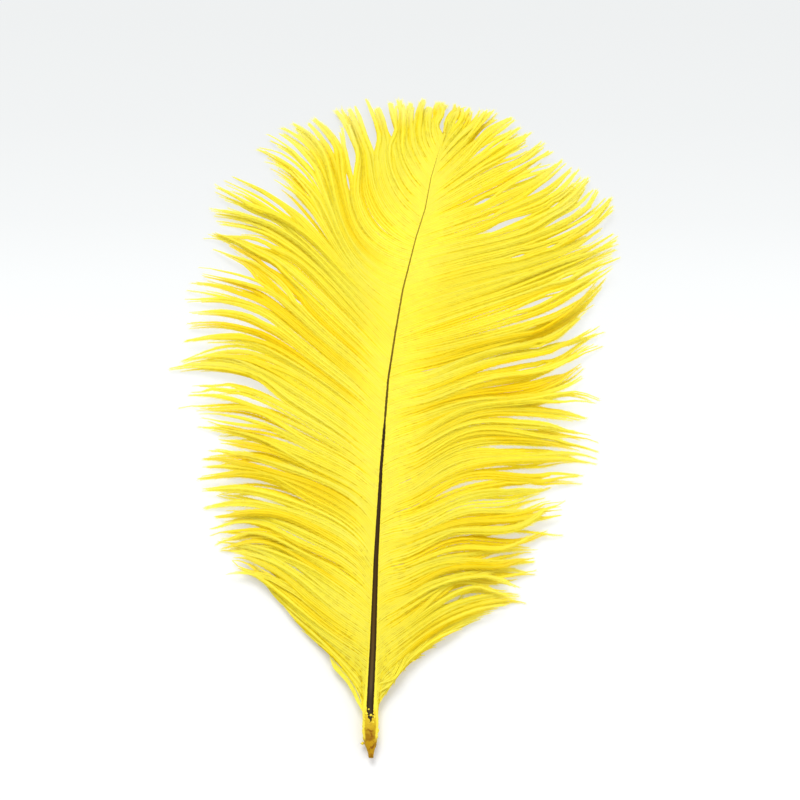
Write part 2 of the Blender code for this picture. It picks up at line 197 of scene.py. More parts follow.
barbs = {
    "points": 24,
    "firstStation": 9.4,
    "lastStation": 168.4,
    "rootHalfWidth": 0.36,
    "halfWidth": 0.27,
    "tipHalfWidth": 0.07,
    "arch": 0.5,
    "lowest": 0.2,
    "highest": 8.45,
    # heights of the lock tips, taken in turn so that neighbouring locks overlap
    "tipHeights": (0.3, 1.4, 0.7, 1.9, 0.4, 1.1),
    # where along the barbs a lock draws together, and how strongly
    "lockFrom": (0.28, 0.5),
    "lockTo": (0.75, 1.0),
    "lockPull": (0.35, 0.8),
    "lockLift": (-0.4, 0.4),
    # the same for a strand, with the stretch of shaft that it takes up
    "strandSpacing": 1.7,
    "mostStrands": 4,
    "strandFrom": (0.2, 0.38),
    "strandTo": (0.62, 0.95),
    "strandReach": (0.86, 1.0),
    "strandLift": (-0.6, 0.6),
    "strandSway": 0.7,
    "strandHook": 0.7,
    "strandRipple": 0.5,
    # stretches of shaft: where strands stop being tousled, where the long waves begin and end, and
    # where the blunt strands of the top fan begin
    "tousledTo": (35, 75),
    "wavesFrom": (24, 44),
    "wavesTo": (86, 108),
    "fanFrom": (112, 128),
    "tousle": 1.1,
    "waveHeight": (0.3, 1.2),
    "barbWave": 0.2,
    "barbTurns": (3.0, 6.5),
    "sunkShare": 0.12,
    "sunkDepth": (0.2, 0.5),
    "paleTints": (0, 0.55),
    "deepTints": (0.8, 1.05),
    # the barbs that gather into the locks, and the sparse ones under them
    "top": {"spacing": 0.5, "pull": (0.3, 0.7), "reach": (0.93, 1.0), "stray": 0.06, "drop": 0.0,
            "tint": (0.0, 1.0), "seed": 11},
    # the under barbs take only the deeper tints, painted shade for barbs that lie beneath the others
    "under": {"spacing": 0.8, "pull": (0.1, 0.55), "reach": (0.88, 1.0), "stray": 0.0, "drop": 0.9,
              "tint": (0.45, 1.0), "seed": 31},
    "loose": {"barbs": 4, "gap": 0.36, "lift": 0.15, "thin": 0.5, "fullness": 0.45, "seed": 41},
}

barbules = {
    "spacing": 0.13,
    "length": 2.0,
    "width": 0.042,
    "angle": 22.0,
    "sag": -0.12,
    # factors on the angle and the length, and the dip in radians, drawn for each barbule
    "swing": (0.6, 1.35),
    "grow": (0.65, 1.2),
    "dip": (-0.16, 0.2),
    "leastFluff": 0.12,
    "lowest": 0.03,
    "headroom": 0.15,
    "seed": 5,
}


def smooth(low, high, value):
    x = np.clip((value - low) / (high - low), 0.0, 1.0)
    return x * x * (3 - 2 * x)


def shaftAt(station):
    rows = np.array(shaftLine)
    x = np.interp(station, rows[:, 0], rows[:, 1])
    z = np.interp(station, rows[:, 0], rows[:, 2])
    half = np.interp(station, rows[:, 0], rows[:, 3])
    return x, z, half


def toWorld(points):
    # millimetres from the quill end become metres in the part's frame
    moved = np.array(points, float)
    moved[..., 0] += quillEnd["x"]
    moved[..., 1] += quillEnd["y"]
    return moved * mm


def lengthsAlong(points):
    # how far each point lies from the start of its line, measured along the line
    steps = np.linalg.norm(np.diff(points, axis=-2), axis=-1)
    start = np.zeros((*steps.shape[:-1], 1))
    return np.concatenate([start, np.cumsum(steps, axis=-1)], axis=-1)


def flowCurves(flows, roots, t):
    # centre lines in plan: a cubic through the root and the three points of the flow table
    rows = np.array(flows, float)
    points = [np.interp(roots, rows[:, 0], rows[:, k]) for k in range(1, 7)]
    points = np.stack(points, axis=1).reshape(-1, 3, 2)
    rootX, _, _ = shaftAt(roots)
    root = np.stack([rootX, roots], axis=1)[:, None]
    points = np.concatenate([root, points], axis=1)
    spots = lengthsAlong(points)
    spots /= spots[:, -1:]
    runs = np.zeros((len(roots), len(t), 2))
    for i in range(4):
        weight = np.ones((len(roots), len(t)))
        for j in range(4):
            if j != i:
                weight *= (t - spots[:, j, None]) / (spots[:, i, None] - spots[:, j, None])
        runs += weight[..., None] * points[:, i, None]
    return runs


def lockCurves(flows, locks, t):
    # a lock follows the flow and bends away to its own tip
    rows = np.array(locks, float)
    runs = flowCurves(flows, rows[:, 0], t)
    missing = rows[:, 1:3] - runs[:, -1]
    return runs + missing[:, None] * t[:, None] ** 2


def freeRuns(curves, roots, stations, t):
    # where barbs would lie if they stayed evenly spread between the locks' centre lines
    lower = np.clip(np.searchsorted(roots, stations) - 1, 0, len(roots) - 2)
    blend = (stations - roots[lower]) / (roots[lower + 1] - roots[lower])
    blend = np.clip(blend, -0.5, 1.5)
    part = blend[:, None, None]
    runs = (1 - part) * curves[lower] + part * curves[lower + 1]
    rootX, _, _ = shaftAt(stations)
    shift = np.stack([rootX, stations], axis=1) - runs[:, 0]
    runs += shift[:, None] * (1 - t[:, None]) ** 2
    return runs, lower, blend


def sidewaysOf(runs):
    along = np.gradient(runs, axis=1)
    along /= np.linalg.norm(along, axis=2, keepdims=True)
    return np.stack([-along[..., 1], along[..., 0]], axis=2)


def cutToReach(points, reach, t):
    # each barb stops at its own reach, so its points are read again along its shortened run
    count = len(t)
    spots = t * reach[:, None] * (count - 1)
    base = np.clip(np.floor(spots).astype(int), 0, count - 2)
    part = (spots - base)[..., None]
    rows = np.arange(len(points))[:, None]
    return points[rows, base] * (1 - part) + points[rows, base + 1] * part


def openPartings(points):
    # pushes barbs off the partings' centre lines, each barb to the side that it mostly lies on
    moved = points.copy()
    spots = moved[..., :2]
    nearness = np.zeros(points.shape[:2])
    for width, opened, marks in partings:
        line = np.array(marks, float)
        pieces = np.diff(line, axis=0)
        lengths = np.linalg.norm(pieces, axis=1)
        starts = lengthsAlong(line)
        distance = np.full(spots.shape[:2], 1e9)
        place = np.zeros(spots.shape[:2])
        aside = np.zeros(spots.shape)
        for number, (piece, length) in enumerate(zip(pieces, lengths)):
            away = spots - line[number]
            along = (away @ piece) / length ** 2
            low = -1e3 if number == 0 else 0.0
            high = 1e3 if number == len(pieces) - 1 else 1.0
            along = np.clip(along, low, high)
            away = away - along[..., None] * piece
            gap = np.linalg.norm(away, axis=2)
            normal = np.array([-piece[1], piece[0]]) / length
            closer = gap < distance
            distance = np.where(closer, gap, distance)
            place = np.where(closer, (starts[number] + along * length) / starts[-1], place)
            signed = (away @ normal)[..., None] * normal / np.maximum(gap, 1e-6)[..., None]
            aside = np.where(closer[..., None], signed, aside)
        strength = smooth(-0.08, 0.45, place)
        # an open parting runs out through the rim, and a closed one ends before it
        closeFrom, closeTo = (1.2, 1.6) if opened else (0.55, 1.08)
        strength *= 1 - smooth(closeFrom, closeTo, place)
        # the parting's left and right are told apart by its overall direction
        overall = line[-1] - line[0]
        normal = np.array([-overall[1], overall[0]]) / np.linalg.norm(overall)
        side = np.sign(aside @ normal) * distance
        weight = strength * np.exp(-distance / 3.0)
        chosen = np.sign((side * weight).sum(axis=1) + 1e-9)[:, None]
        wrong = np.where(side * chosen < 0, distance, 0.0)
        reach = max(1.6 * width, 1.1)
        push = strength * np.exp(-distance / reach) * (width + 0.3 + wrong)
        outward = np.where((side * chosen < 0)[..., None], -aside, aside)
        spots += outward * push[..., None]
        nearness = np.maximum(nearness, strength * np.exp(-np.maximum(distance - 0.2, 0) / 1.0))
    return moved, nearness


def dressBarbs(points, stations, tint, fullness, blunt, dice):
    # widths, rolls and barbule sizes of barbs whose centre lines are known
    total, count, _ = points.shape
    t = np.linspace(0, 1, count)
    fromRoot = lengthsAlong(points)
    size = fromRoot[:, -1]
    middle = barbs["halfWidth"]
    widths = middle + (barbs["rootHalfWidth"] - middle) * (1 - smooth(8.0, 20.0, fromRoot))
    widths *= 1 + (0.42 + 0.55 * blunt[:, None]) * smooth(0.4, 0.7, t)
    taper = smooth(0.82 + 0.08 * blunt[:, None], 1.0, t)
    tip = barbs["tipHalfWidth"] + 0.2 * blunt[:, None]
    widths = widths * (1 - taper) + tip * taper
    widths *= dice.uniform(0.9, 1.1, total)[:, None]
    roll = dice.normal(0, 0.1, total)[:, None] * smooth(1.0, 5.0, fromRoot)
    roll += dice.normal(0, 0.3, total)[:, None] * t ** 1.5
    # barbules are missing beside the shaft and full from about 14 mm out
    start = np.minimum(4.0, 0.12 * size)[:, None]
    full = np.minimum(14.0, 0.36 * size)[:, None]
    fluff = 0.1 + 0.9 * smooth(start, full, fromRoot)
    fluff *= 1 - 0.5 * (1 - blunt[:, None]) * smooth(0.85, 1.0, t)
    fluff *= (np.clip(size / 14, 0.5, 1.0) * fullness)[:, None]
    return {
        "station": stations, "points": points, "halfWidth": widths, "roll": roll, "fluff": fluff,
        "tint": np.repeat(tint[:, None], count, axis=1), "fromRoot": fromRoot,
        "pale": (0.35 + 0.65 * blunt[:, None]) * smooth(0.74, 1.0, t),
    }


def growVane(side, flows, locks, layer):
    # barbs of one side and layer: they gather into strands, and the strands into locks
    dice = np.random.default_rng(layer["seed"] + (side > 0))
    t = np.linspace(0, 1, barbs["points"])
    curves = lockCurves(flows, locks, t)
    roots = np.array([row[0] for row in locks], float)
    lockCount = len(locks)
    perStrand = (lockCount, barbs["mostStrands"])

    def draw(label, size):
        return dice.uniform(*barbs[label], size)

    edges = np.concatenate([[barbs["firstStation"]], (roots[1:] + roots[:-1]) / 2, [barbs["lastStation"]]])
    stations = np.arange(edges[0], edges[-1], layer["spacing"])
    stations = stations + dice.uniform(-0.15, 0.15, len(stations)) * layer["spacing"]
    total = len(stations)
    lock = np.clip(np.searchsorted(edges, stations) - 1, 0, lockCount - 1)
    span = edges[1:] - edges[:-1]
    across = (stations - edges[lock]) / span[lock] - 0.5

    # tips of neighbouring locks lie at different heights, so they overlap
    cycle = np.array(barbs["tipHeights"])
    tipHeight = cycle[np.arange(lockCount) % len(cycle)] + dice.uniform(-0.15, 0.3, lockCount)
    lockFrom = draw("lockFrom", lockCount)
    lockTo = draw("lockTo", lockCount)
    lockPull = draw("lockPull", lockCount) * smooth(14, 34, roots)
    # the strands of the top fan stay broad and blunt, most of all on the left
    blunt = smooth(*barbs["fanFrom"], roots) * (1.0 if side < 0 else 0.45)
    lockPull = lockPull * (1 - blunt) + 0.45 * blunt
    lockLift = draw("lockLift", lockCount)

    # each lock holds one to four strands, by the stretch of shaft that it grows from
    strands = np.round(span / barbs["strandSpacing"] + dice.uniform(-0.4, 0.5, lockCount))
    strands = np.clip(strands, 1, barbs["mostStrands"]).astype(int)
    strandOf = np.clip(np.floor((across + 0.5) * strands[lock]).astype(int), 0, strands[lock] - 1)
    strandMid = edges[lock] + (strandOf + 0.5) / strands[lock] * span[lock]
    strandReach = draw("strandReach", perStrand)
    longest = dice.integers(0, barbs["mostStrands"], lockCount) % strands
    strandReach[np.arange(lockCount), longest] = 1.0
    # low down the strands are tousled, and in the middle they run in long waves
    tousle = (1 + barbs["tousle"] * (1 - smooth(*barbs["tousledTo"], roots)))[:, None]
    waveHeight = draw("waveHeight", lockCount)
    waveHeight = waveHeight * smooth(*barbs["wavesFrom"], roots) * (1 - smooth(*barbs["wavesTo"], roots))
    waveHeight = waveHeight * (1.0 if side > 0 else -0.45)
    waveShift = dice.uniform(-0.06, 0.06, lockCount)
    strandSway = (dice.normal(0, barbs["strandSway"], perStrand) * tousle)[lock, strandOf]
    strandHook = dice.normal(0, barbs["strandHook"], perStrand)[lock, strandOf]
    strandRipple = (dice.normal(0, barbs["strandRipple"], perStrand) * tousle)[lock, strandOf]
    strandPhase = dice.uniform(0, 6.28, perStrand)[lock, strandOf]
    strandLift = (draw("strandLift", perStrand) * np.sqrt(tousle))[lock, strandOf]
    strandTint = draw("paleTints", perStrand)
    deep = dice.random(perStrand) < 0.3 - 0.24 * smooth(75, 125, roots)[:, None]
    strandTint = np.where(deep, draw("deepTints", perStrand), strandTint)[lock, strandOf]

    free, lower, blend = freeRuns(curves, roots, stations, t)
    strandLine, _, _ = freeRuns(curves, roots, strandMid, t)
    lockGather = smooth(lockFrom[lock][:, None], lockTo[lock][:, None], t) * lockPull[lock][:, None]
    strandLine += (curves[lock] - strandLine) * lockGather[..., None]

    stray = dice.random(total) < layer["stray"]
    pull = dice.uniform(*layer["pull"], total) * np.where(stray, 0.4, 1.0) * smooth(10, 30, stations)
    pull = pull * (1 - 0.6 * blunt[lock]) * (1 - 0.25 * (1 - smooth(45, 75, stations)))
    strandFrom = draw("strandFrom", perStrand)[lock, strandOf]
    strandTo = draw("strandTo", perStrand)[lock, strandOf]
    gather = smooth(strandFrom[:, None], strandTo[:, None], t) * pull[:, None]
    # towards the rim the barbs of a strand meet in a point
    meet = smooth(0.72, 1.0, t) * (0.5 * (1 - blunt[lock]) * smooth(10, 30, stations))[:, None]
    gather += (1 - gather) * meet
    plan = free + (strandLine - free) * gather[..., None]
    waveSize = dice.normal(0, barbs["barbWave"], total) * np.where(stray, 3.0, 1.0)
    wavePhase = dice.uniform(0, 6.28, total)
    waveTurns = draw("barbTurns", total)
    wave = waveSize[:, None] * np.sin(waveTurns[:, None] * t + wavePhase[:, None]) * t ** 1.5
    sway = strandSway[:, None] * smooth(0.4, 1.0, t)
    ripple = strandRipple[:, None] * np.sin(7.0 * t + strandPhase[:, None]) * smooth(0.25, 0.8, t)
    swing = np.sin((t + waveShift[lock][:, None]) * 10.5) * smooth(0.02, 0.2, t)
    edgeCalm = smooth(11, 26, stations)[:, None]
    waves = (wave + sway + ripple) * edgeCalm - side * waveHeight[lock][:, None] * swing
    plan += sidewaysOf(plan) * waves[..., None]

    _, rootZ, half = shaftAt(stations)
    freeTip = (1 - blend) * tipHeight[lower] + blend * tipHeight[lower + 1]
    tipNow = freeTip[:, None] + (tipHeight[lock] - freeTip)[:, None] * gather
    rootNow = (rootZ + half * 0.25)[:, None]
    height = rootNow + (tipNow - rootNow) * t ** 1.45
    swell = smooth(0.1, 0.5, t) * (1 - 0.75 * smooth(0.6, 1.0, t))
    dome = (1 - (2 * across[:, None]) ** 2) - 0.5
    height += barbs["arch"] * swell * dome
    height += lockLift[lock][:, None] * (swell * smooth(0.3, 0.7, t))
    height += strandLift[:, None] * smooth(0.35, 0.8, t)
    height -= layer["drop"] * smooth(0.1, 0.4, t)
    height += dice.normal(0, 0.06, total)[:, None] * smooth(0.05, 0.3, t)
    # a few barbs sink a little and show as fine dark lines, from real shade and from painted shade in their
    # tint
    sunk = dice.random(total) < barbs["sunkShare"]
    sinkAndShade = np.where(sunk, draw("sunkDepth", total), 0.0)
    height -= sinkAndShade[:, None] * (smooth(0.06, 0.2, t) * (1 - smooth(0.5, 0.8, t)))
    height = np.clip(height, barbs["lowest"], barbs["highest"])

    reach = strandReach[lock, strandOf] * dice.uniform(*layer["reach"], total)
    points = cutToReach(np.concatenate([plan, height[..., None]], axis=2), reach, t)
    hook = strandHook[:, None] * smooth(0.75, 1.0, t) ** 1.5 * edgeCalm
    points[..., :2] += sidewaysOf(points[..., :2]) * hook[..., None]

    # barbs start on the side of the shaft, not on its centre line
    edge = side * half * 0.75
    points[..., 0] += edge[:, None] * (1 - smooth(0.0, 0.12, t))
    points, nearness = openPartings(points)
    low, high = layer["tint"]
    # sunk barbs are also painted deeper, painted shade added to the real shade they sink into
    tint = low + (high - low) * (0.7 * strandTint + 0.3 * dice.uniform(0, 1, total)) + 0.6 * sinkAndShade
    fullness = 0.3 + 0.7 * smooth(12, 26, stations)
    vane = dressBarbs(points, stations, tint, fullness, blunt[lock], dice)
    vane["fluff"] *= 1 - 0.55 * nearness
    return vane


def growLoose(side):
    # strands that have come loose and lie on top, each of a few barbs held close together
    layer = barbs["loose"]
    dice = np.random.default_rng(layer["seed"] + (side > 0))
    t = np.linspace(0, 1, barbs["points"])
    runs = []
    stations = []
    for station, row in looseStrands:
        if row[-1][0] * side < 0:
            continue
        rootX, rootZ, half = shaftAt(station)
        marks = np.array([(rootX + side * half * 0.7, station)] + row, float)
        spots = lengthsAlong(marks)
        spots /= spots[-1]
        fine = np.linspace(0, 1, 200)
        line = np.stack([np.interp(fine, spots, marks[:, k]) for k in (0, 1)], axis=1)
        # rounded corners: the line is averaged over its neighbours a few times, with its ends held
        for _ in range(120):
            line[1:-1] = 0.25 * line[:-2] + 0.5 * line[1:-1] + 0.25 * line[2:]
        middle = np.stack([np.interp(t, fine, line[:, k]) for k in (0, 1)], axis=1)
        for number in range(layer["barbs"]):
            aside = (number - (layer["barbs"] - 1) / 2) * layer["gap"] + dice.normal(0, 0.08)
            spread = aside * smooth(0.0, 0.25, t) * (1 - 0.6 * smooth(0.6, 1.0, t))
            plan = middle + sidewaysOf(middle[None])[0] * spread[:, None]
            height = rootZ + 0.3 + (0.9 - rootZ) * t ** 1.9 + layer["lift"] * smooth(0.1, 0.5, t)
            runs.append(np.concatenate([plan, height[:, None]], axis=1))
            stations.append(station)
    total = len(runs)
    runs = np.array(runs)
    runs[..., 2] = np.clip(runs[..., 2], barbs["lowest"], barbs["highest"])
    points = cutToReach(runs, dice.uniform(0.9, 1.0, total), t)
    tint = dice.uniform(0.1, 0.4, total)
    fullness = np.full(total, layer["fullness"])
    loose = dressBarbs(points, np.array(stations), tint, fullness, np.zeros(total), dice)
    loose["halfWidth"] *= layer["thin"]
    return loose


def addObject(name, data):
    thing = bpy.data.objects.new(name, data)
    bpy.context.scene.collection.objects.link(thing)
    return thing


def barbLines(name, vane, first, last):
    # the barbs of one stretch as loose edge chains that carry their widths and tints
    rows = np.nonzero((vane["station"] >= first) & (vane["station"] < last))[0]
    count = vane["points"].shape[1]
    spots = toWorld(vane["points"][rows]).reshape(-1, 3)
    index = np.arange(len(spots)).reshape(len(rows), count)
    links = np.stack([index[:, :-1].ravel(), index[:, 1:].ravel()], axis=1)
    mesh = bpy.data.meshes.new(name)
    mesh.vertices.add(len(spots))
    mesh.vertices.foreach_set("co", spots.ravel().astype(np.float32))
    mesh.edges.add(len(links))
    mesh.edges.foreach_set("vertices", links.ravel().astype(np.int32))
    for label in ("halfWidth", "roll", "fluff", "tint", "fromRoot", "pale"):
        layer = mesh.attributes.new(label, "FLOAT", "POINT")
        layer.data.foreach_set("value", vane[label][rows].ravel().astype(np.float32))
    mesh.update()
    return addObject(name, mesh)


def addNode(tree, kind, inputs=None, **values):
    # an input gets a plain value, or a link from a socket or from a node's first output
    node = tree.nodes.new(kind)
    for label, value in values.items():
        setattr(node, label, value)
    for label, value in (inputs or {}).items():
        if isinstance(value, bpy.types.Node):
            value = value.outputs[0]
        if isinstance(value, bpy.types.NodeSocket):
            tree.links.new(value, node.inputs[label])
        else:
            node.inputs[label].default_value = value
    return node


def calc(tree, operation, first, second=0.0):
    return addNode(tree, "ShaderNodeMath", {0: first, 1: second}, operation=operation).outputs[0]


def plus(tree, first, second):
    return calc(tree, "ADD", first, second)


def times(tree, first, second):
    return calc(tree, "MULTIPLY", first, second)


def namedFloat(tree, label):
    node = addNode(tree, "GeometryNodeInputNamedAttribute", {"Name": label}, data_type="FLOAT")
    return node.outputs["Attribute"]


def randomFloat(tree, limits, seed):
    inputs = {2: limits[0], 3: limits[1], "Seed": seed}
    return addNode(tree, "FunctionNodeRandomValue", inputs, data_type="FLOAT").outputs[1]


def addSockets(tree, direction, kind, labels):
    for label in labels:
        tree.interface.new_socket(label, in_out=direction, socket_type=kind)


def vaneTree(material):
    # grows a ribbon along every barb and rows of barbules on both its edges
    tree = bpy.data.node_groups.new("growVane", "GeometryNodeTree")
    addSockets(tree, "INPUT", "NodeSocketGeometry", ["Geometry"])
    addSockets(tree, "INPUT", "NodeSocketFloat",
               ["Barbule Spacing", "Barbule Length", "Barbule Width", "Barbule Angle"])
    addSockets(tree, "INPUT", "NodeSocketInt", ["Seed"])
    addSockets(tree, "OUTPUT", "NodeSocketGeometry", ["Geometry"])
    add = partial(addNode, tree)
    start = add("NodeGroupInput").outputs
    split = add("ShaderNodeSeparateXYZ", {0: add("GeometryNodeInputPosition")}).outputs

    lines = add("GeometryNodeMeshToCurve", {"Mesh": start["Geometry"]})
    upright = add("GeometryNodeSetCurveNormal", {"Curve": lines}, mode="Z_UP")
    tilt = add("GeometryNodeSetCurveTilt", {"Curve": upright, "Tilt": namedFloat(tree, "roll")})

    # the ribbon: an arched four-point section swept along the barb
    section = add("GeometryNodeCurveQuadraticBezier", {
        "Resolution": 3, "Start": (-1, 0, 0), "Middle": (0, -0.8, 0), "End": (1, 0, 0),
    })
    inputs = {"Name": "across", "Geometry": section, "Value": split["X"]}
    mark = add("GeometryNodeStoreNamedAttribute", inputs, data_type="FLOAT", domain="POINT")
    halfMetres = times(tree, namedFloat(tree, "halfWidth"), mm)
    ribbon = add("GeometryNodeCurveToMesh", {"Curve": tilt, "Profile Curve": mark, "Scale": halfMetres})

    # the barbule: a thin blade that narrows to a point, 1 long before it is scaled
    grid = add("GeometryNodeMeshGrid", {"Size X": 1.0, "Size Y": 1.0, "Vertices X": 2, "Vertices Y": 2})
    run = plus(tree, split["X"], 0.5)
    narrow = calc(tree, "SUBTRACT", 1.0, calc(tree, "POWER", run, 1.5))
    width = times(tree, times(tree, split["Y"], narrow), start["Barbule Width"])
    sag = times(tree, calc(tree, "POWER", run, 2.0), barbules["sag"])
    shape = add("ShaderNodeCombineXYZ", {"X": run, "Y": width, "Z": sag})
    blade = add("GeometryNodeSetPosition", {"Geometry": grid, "Position": shape})
    pointed = add("GeometryNodeMergeByDistance", {"Geometry": blade, "Distance": 0.001})

    # a row of barbules on each side of the barb, where its fluff allows them
    inputs = {"Curve": upright, "Length": start["Barbule Spacing"]}
    evenly = add("GeometryNodeResampleCurve", inputs, mode="LENGTH")
    inputs = {"Primary Axis": add("GeometryNodeInputTangent"), "Secondary Axis": (0, 0, 1)}
    facing = add("FunctionNodeAxesToRotation", inputs, primary_axis="X", secondary_axis="Z")
    fluff = namedFloat(tree, "fluff")
    inputs = {0: fluff, 1: barbules["leastFluff"]}
    enough = add("FunctionNodeCompare", inputs, data_type="FLOAT", operation="GREATER_THAN")
    grown = []
    for number, hand in enumerate((1, -1)):
        seed = plus(tree, start["Seed"], 10.0 * number)
        angle = times(tree, randomFloat(tree, barbules["swing"], seed), start["Barbule Angle"])
        dip = randomFloat(tree, barbules["dip"], plus(tree, seed, 3.0))
        turnBy = add("ShaderNodeCombineXYZ", {"Y": dip, "Z": times(tree, angle, hand)})
        inputs = {"Rotation": facing, "Rotate By": add("FunctionNodeEulerToRotation", {0: turnBy})}
        turned = add("FunctionNodeRotateRotation", inputs, rotation_space="LOCAL")
        growth = randomFloat(tree, barbules["grow"], plus(tree, seed, 5.0))
        size = times(tree, times(tree, growth, start["Barbule Length"]), fluff)
        stand = add("GeometryNodeInstanceOnPoints", {
            "Points": evenly, "Selection": enough, "Instance": pointed, "Rotation": turned, "Scale": size,
        })
        grown.append(add("GeometryNodeRealizeInstances", {"Geometry": stand}))
    join = add("GeometryNodeJoinGeometry")
    for part in (*grown, ribbon):
        tree.links.new(part.outputs[0], join.inputs[0])
    soft = add("GeometryNodeSetShadeSmooth", {"Geometry": join})
    real = add("GeometryNodeRealizeInstances", {"Geometry": soft})
    paint = add("GeometryNodeSetMaterial", {"Geometry": real, "Material": material})
    add("NodeGroupOutput", {"Geometry": paint})
    return tree


def growPiece(name, guide, tree):
    # runs the tree on the guide lines and keeps the result as a plain mesh
    modifier = guide.modifiers.new("grow", "NODES")
    modifier.node_group = tree
    settings = {
        "Barbule Spacing": barbules["spacing"] * mm,
        "Barbule Length": barbules["length"] * mm,
        "Barbule Width": barbules["width"],
        "Barbule Angle": math.radians(barbules["angle"]),
        "Seed": barbules["seed"],
    }
    for socket in tree.interface.items_tree:
        if socket.name in settings:
            modifier[socket.identifier] = settings[socket.name]
    bpy.context.view_layer.update()
    graph = bpy.context.evaluated_depsgraph_get()
    mesh = bpy.data.meshes.new_from_object(guide.evaluated_get(graph))
    guide.modifiers.remove(modifier)
    # barbules that would dip through the floor lie on it instead, and none stands far above the barbs
    spots = np.zeros(len(mesh.vertices) * 3, np.float32)
    mesh.vertices.foreach_get("co", spots)
    highest = (barbs["highest"] + barbules["headroom"]) * mm
    spots[2::3] = np.clip(spots[2::3], barbules["lowest"] * mm, highest)
    mesh.vertices.foreach_set("co", spots)
    mesh.update()
    bpy.data.objects.remove(guide, do_unlink=True)
    return addObject(name, mesh)


def dressPiece(piece):
    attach(piece, "root")
    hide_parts("feather")


def shaderStart(name, look):
    material = bpy.data.materials.new(name)
    material.use_nodes = True
    tree = material.node_tree
    tree.nodes.clear()
    body = addNode(tree, "ShaderNodeBsdfPrincipled",
                   {"Roughness": look["roughness"], "Specular IOR Level": look["specular"]})
    out = addNode(tree, "ShaderNodeOutputMaterial", {"Surface": body})
    return material, tree, body, out


def ramp(tree, source, stops):
    node = addNode(tree, "ShaderNodeValToRGB", {"Fac": source})
    while len(node.color_ramp.elements) < len(stops):
        node.color_ramp.elements.new(0.5)
    for element, (place, colour) in zip(node.color_ramp.elements, stops):
        element.position = place
        element.color = (*colour, 1)
    return node.outputs["Color"]


def blend(tree, factor, first, second):
    inputs = {"Factor": factor}
    for label, colour in (("A", first), ("B", second)):
        inputs[label] = (*colour, 1) if isinstance(colour, tuple) else colour
    return addNode(tree, "ShaderNodeMix", inputs, data_type="RGBA").outputs["Result"]


def fade(tree, source, low, high):
    # 0 at low and 1 at high, with soft ends; low may be the larger of the two
    inputs = {"From Min": low, "From Max": high, "Value": source}
    return addNode(tree, "ShaderNodeMapRange", inputs, interpolation_type="SMOOTHSTEP").outputs[0]


def sloped(tree, source, slope, offset):
    return plus(tree, times(tree, source, slope), offset)


def stored(tree, label):
    return addNode(tree, "ShaderNodeAttribute", attribute_name=label).outputs["Fac"]


def objectPlace(tree):
    return addNode(tree, "ShaderNodeTexCoord").outputs["Object"]


def grainGroup():
    # uneven specks in the object's own space, which both materials use
    group = bpy.data.node_groups.new("grain", "ShaderNodeTree")
    addSockets(group, "INPUT", "NodeSocketFloat", ["Scale", "Detail"])
    addSockets(group, "OUTPUT", "NodeSocketFloat", ["Amount"])
    start = addNode(group, "NodeGroupInput").outputs
    noise = addNode(group, "ShaderNodeTexNoise",
                    {"Vector": objectPlace(group), "Scale": start["Scale"], "Detail": start["Detail"]})
    addNode(group, "NodeGroupOutput", {"Amount": noise})
    return group


def addGrain(tree, group, scale, detail):
    inputs = {"Scale": scale, "Detail": detail}
    return addNode(tree, "ShaderNodeGroup", inputs, node_tree=group).outputs["Amount"]


barbLook = {
    # from pale to deep, by the sum of what barbMaterial adds up
    "tones": [(0.1, (0.98, 0.955, 0.16)), (0.45, (0.995, 0.93, 0.08)), (0.8, (0.995, 0.85, 0.017)),
              (1.0, (0.95, 0.72, 0.003))],
    # grain is given by its scale and detail, and outward is mm from the root
    "cloud": (60, 3),
    "cloudShare": 0.38,
    "outward": (1.0, 15.0),
    # near the shaft strands differ less, and the painted shade on barb edges and the painted shade lines
    # between barbs are deeper: the change outward, the start
    "strands": (0.38, 0.18),
    "edges": (-0.26, 0.62),
    "shadeLines": (-0.4, 0.62),
    "shadeLineTint": (0.6, 0.4, 0.004),
    "shadeLineBreaks": (650, 2),
    "shadeLineFade": (0.46, 0.6),
    "paleTint": (0.99, 0.97, 0.4),
    "paleShare": 0.6,
    "roughness": 0.5,
    "specular": 0.06,
    "glow": 0.48,
}


def barbMaterial(grain):
    material, tree, body, out = shaderStart("dyedBarbs", barbLook)
    tint, across, fromRoot, pale = [stored(tree, label) for label in ("tint", "across", "fromRoot", "pale")]
    patchy = times(tree, addGrain(tree, grain, *barbLook["cloud"]), barbLook["cloudShare"])
    outward = fade(tree, fromRoot, *barbLook["outward"])
    strandwise = times(tree, tint, sloped(tree, outward, *barbLook["strands"]))
    # painted shade: the edges of each barb are a little deeper in colour, standing in for the shade where
    # barbs meet, which draws each barb as a fine line
    edge = calc(tree, "POWER", calc(tree, "ABSOLUTE", across), 2.0)
    edgeShade = times(tree, edge, sloped(tree, outward, *barbLook["edges"]))
    colour = ramp(tree, plus(tree, plus(tree, strandwise, patchy), edgeShade), barbLook["tones"])
    # painted shade: broken darker lines between the barbs, where shade falls, most of all near the shaft
    broken = fade(tree, addGrain(tree, grain, *barbLook["shadeLineBreaks"]), *barbLook["shadeLineFade"])
    shadeLine = times(tree, fade(tree, edge, 0.3, 0.5), broken)
    shadeLine = times(tree, shadeLine, sloped(tree, outward, *barbLook["shadeLines"]))
    colour = blend(tree, shadeLine, colour, barbLook["shadeLineTint"])
    colour = blend(tree, times(tree, pale, barbLook["paleShare"]), colour, barbLook["paleTint"])
    tree.links.new(colour, body.inputs["Base Color"])
    glow = addNode(tree, "ShaderNodeBsdfTranslucent", {"Color": colour})
    mix = addNode(tree, "ShaderNodeMixShader", {"Fac": barbLook["glow"], 1: body, 2: glow})
    tree.links.new(mix.outputs[0], out.inputs["Surface"])
    return material


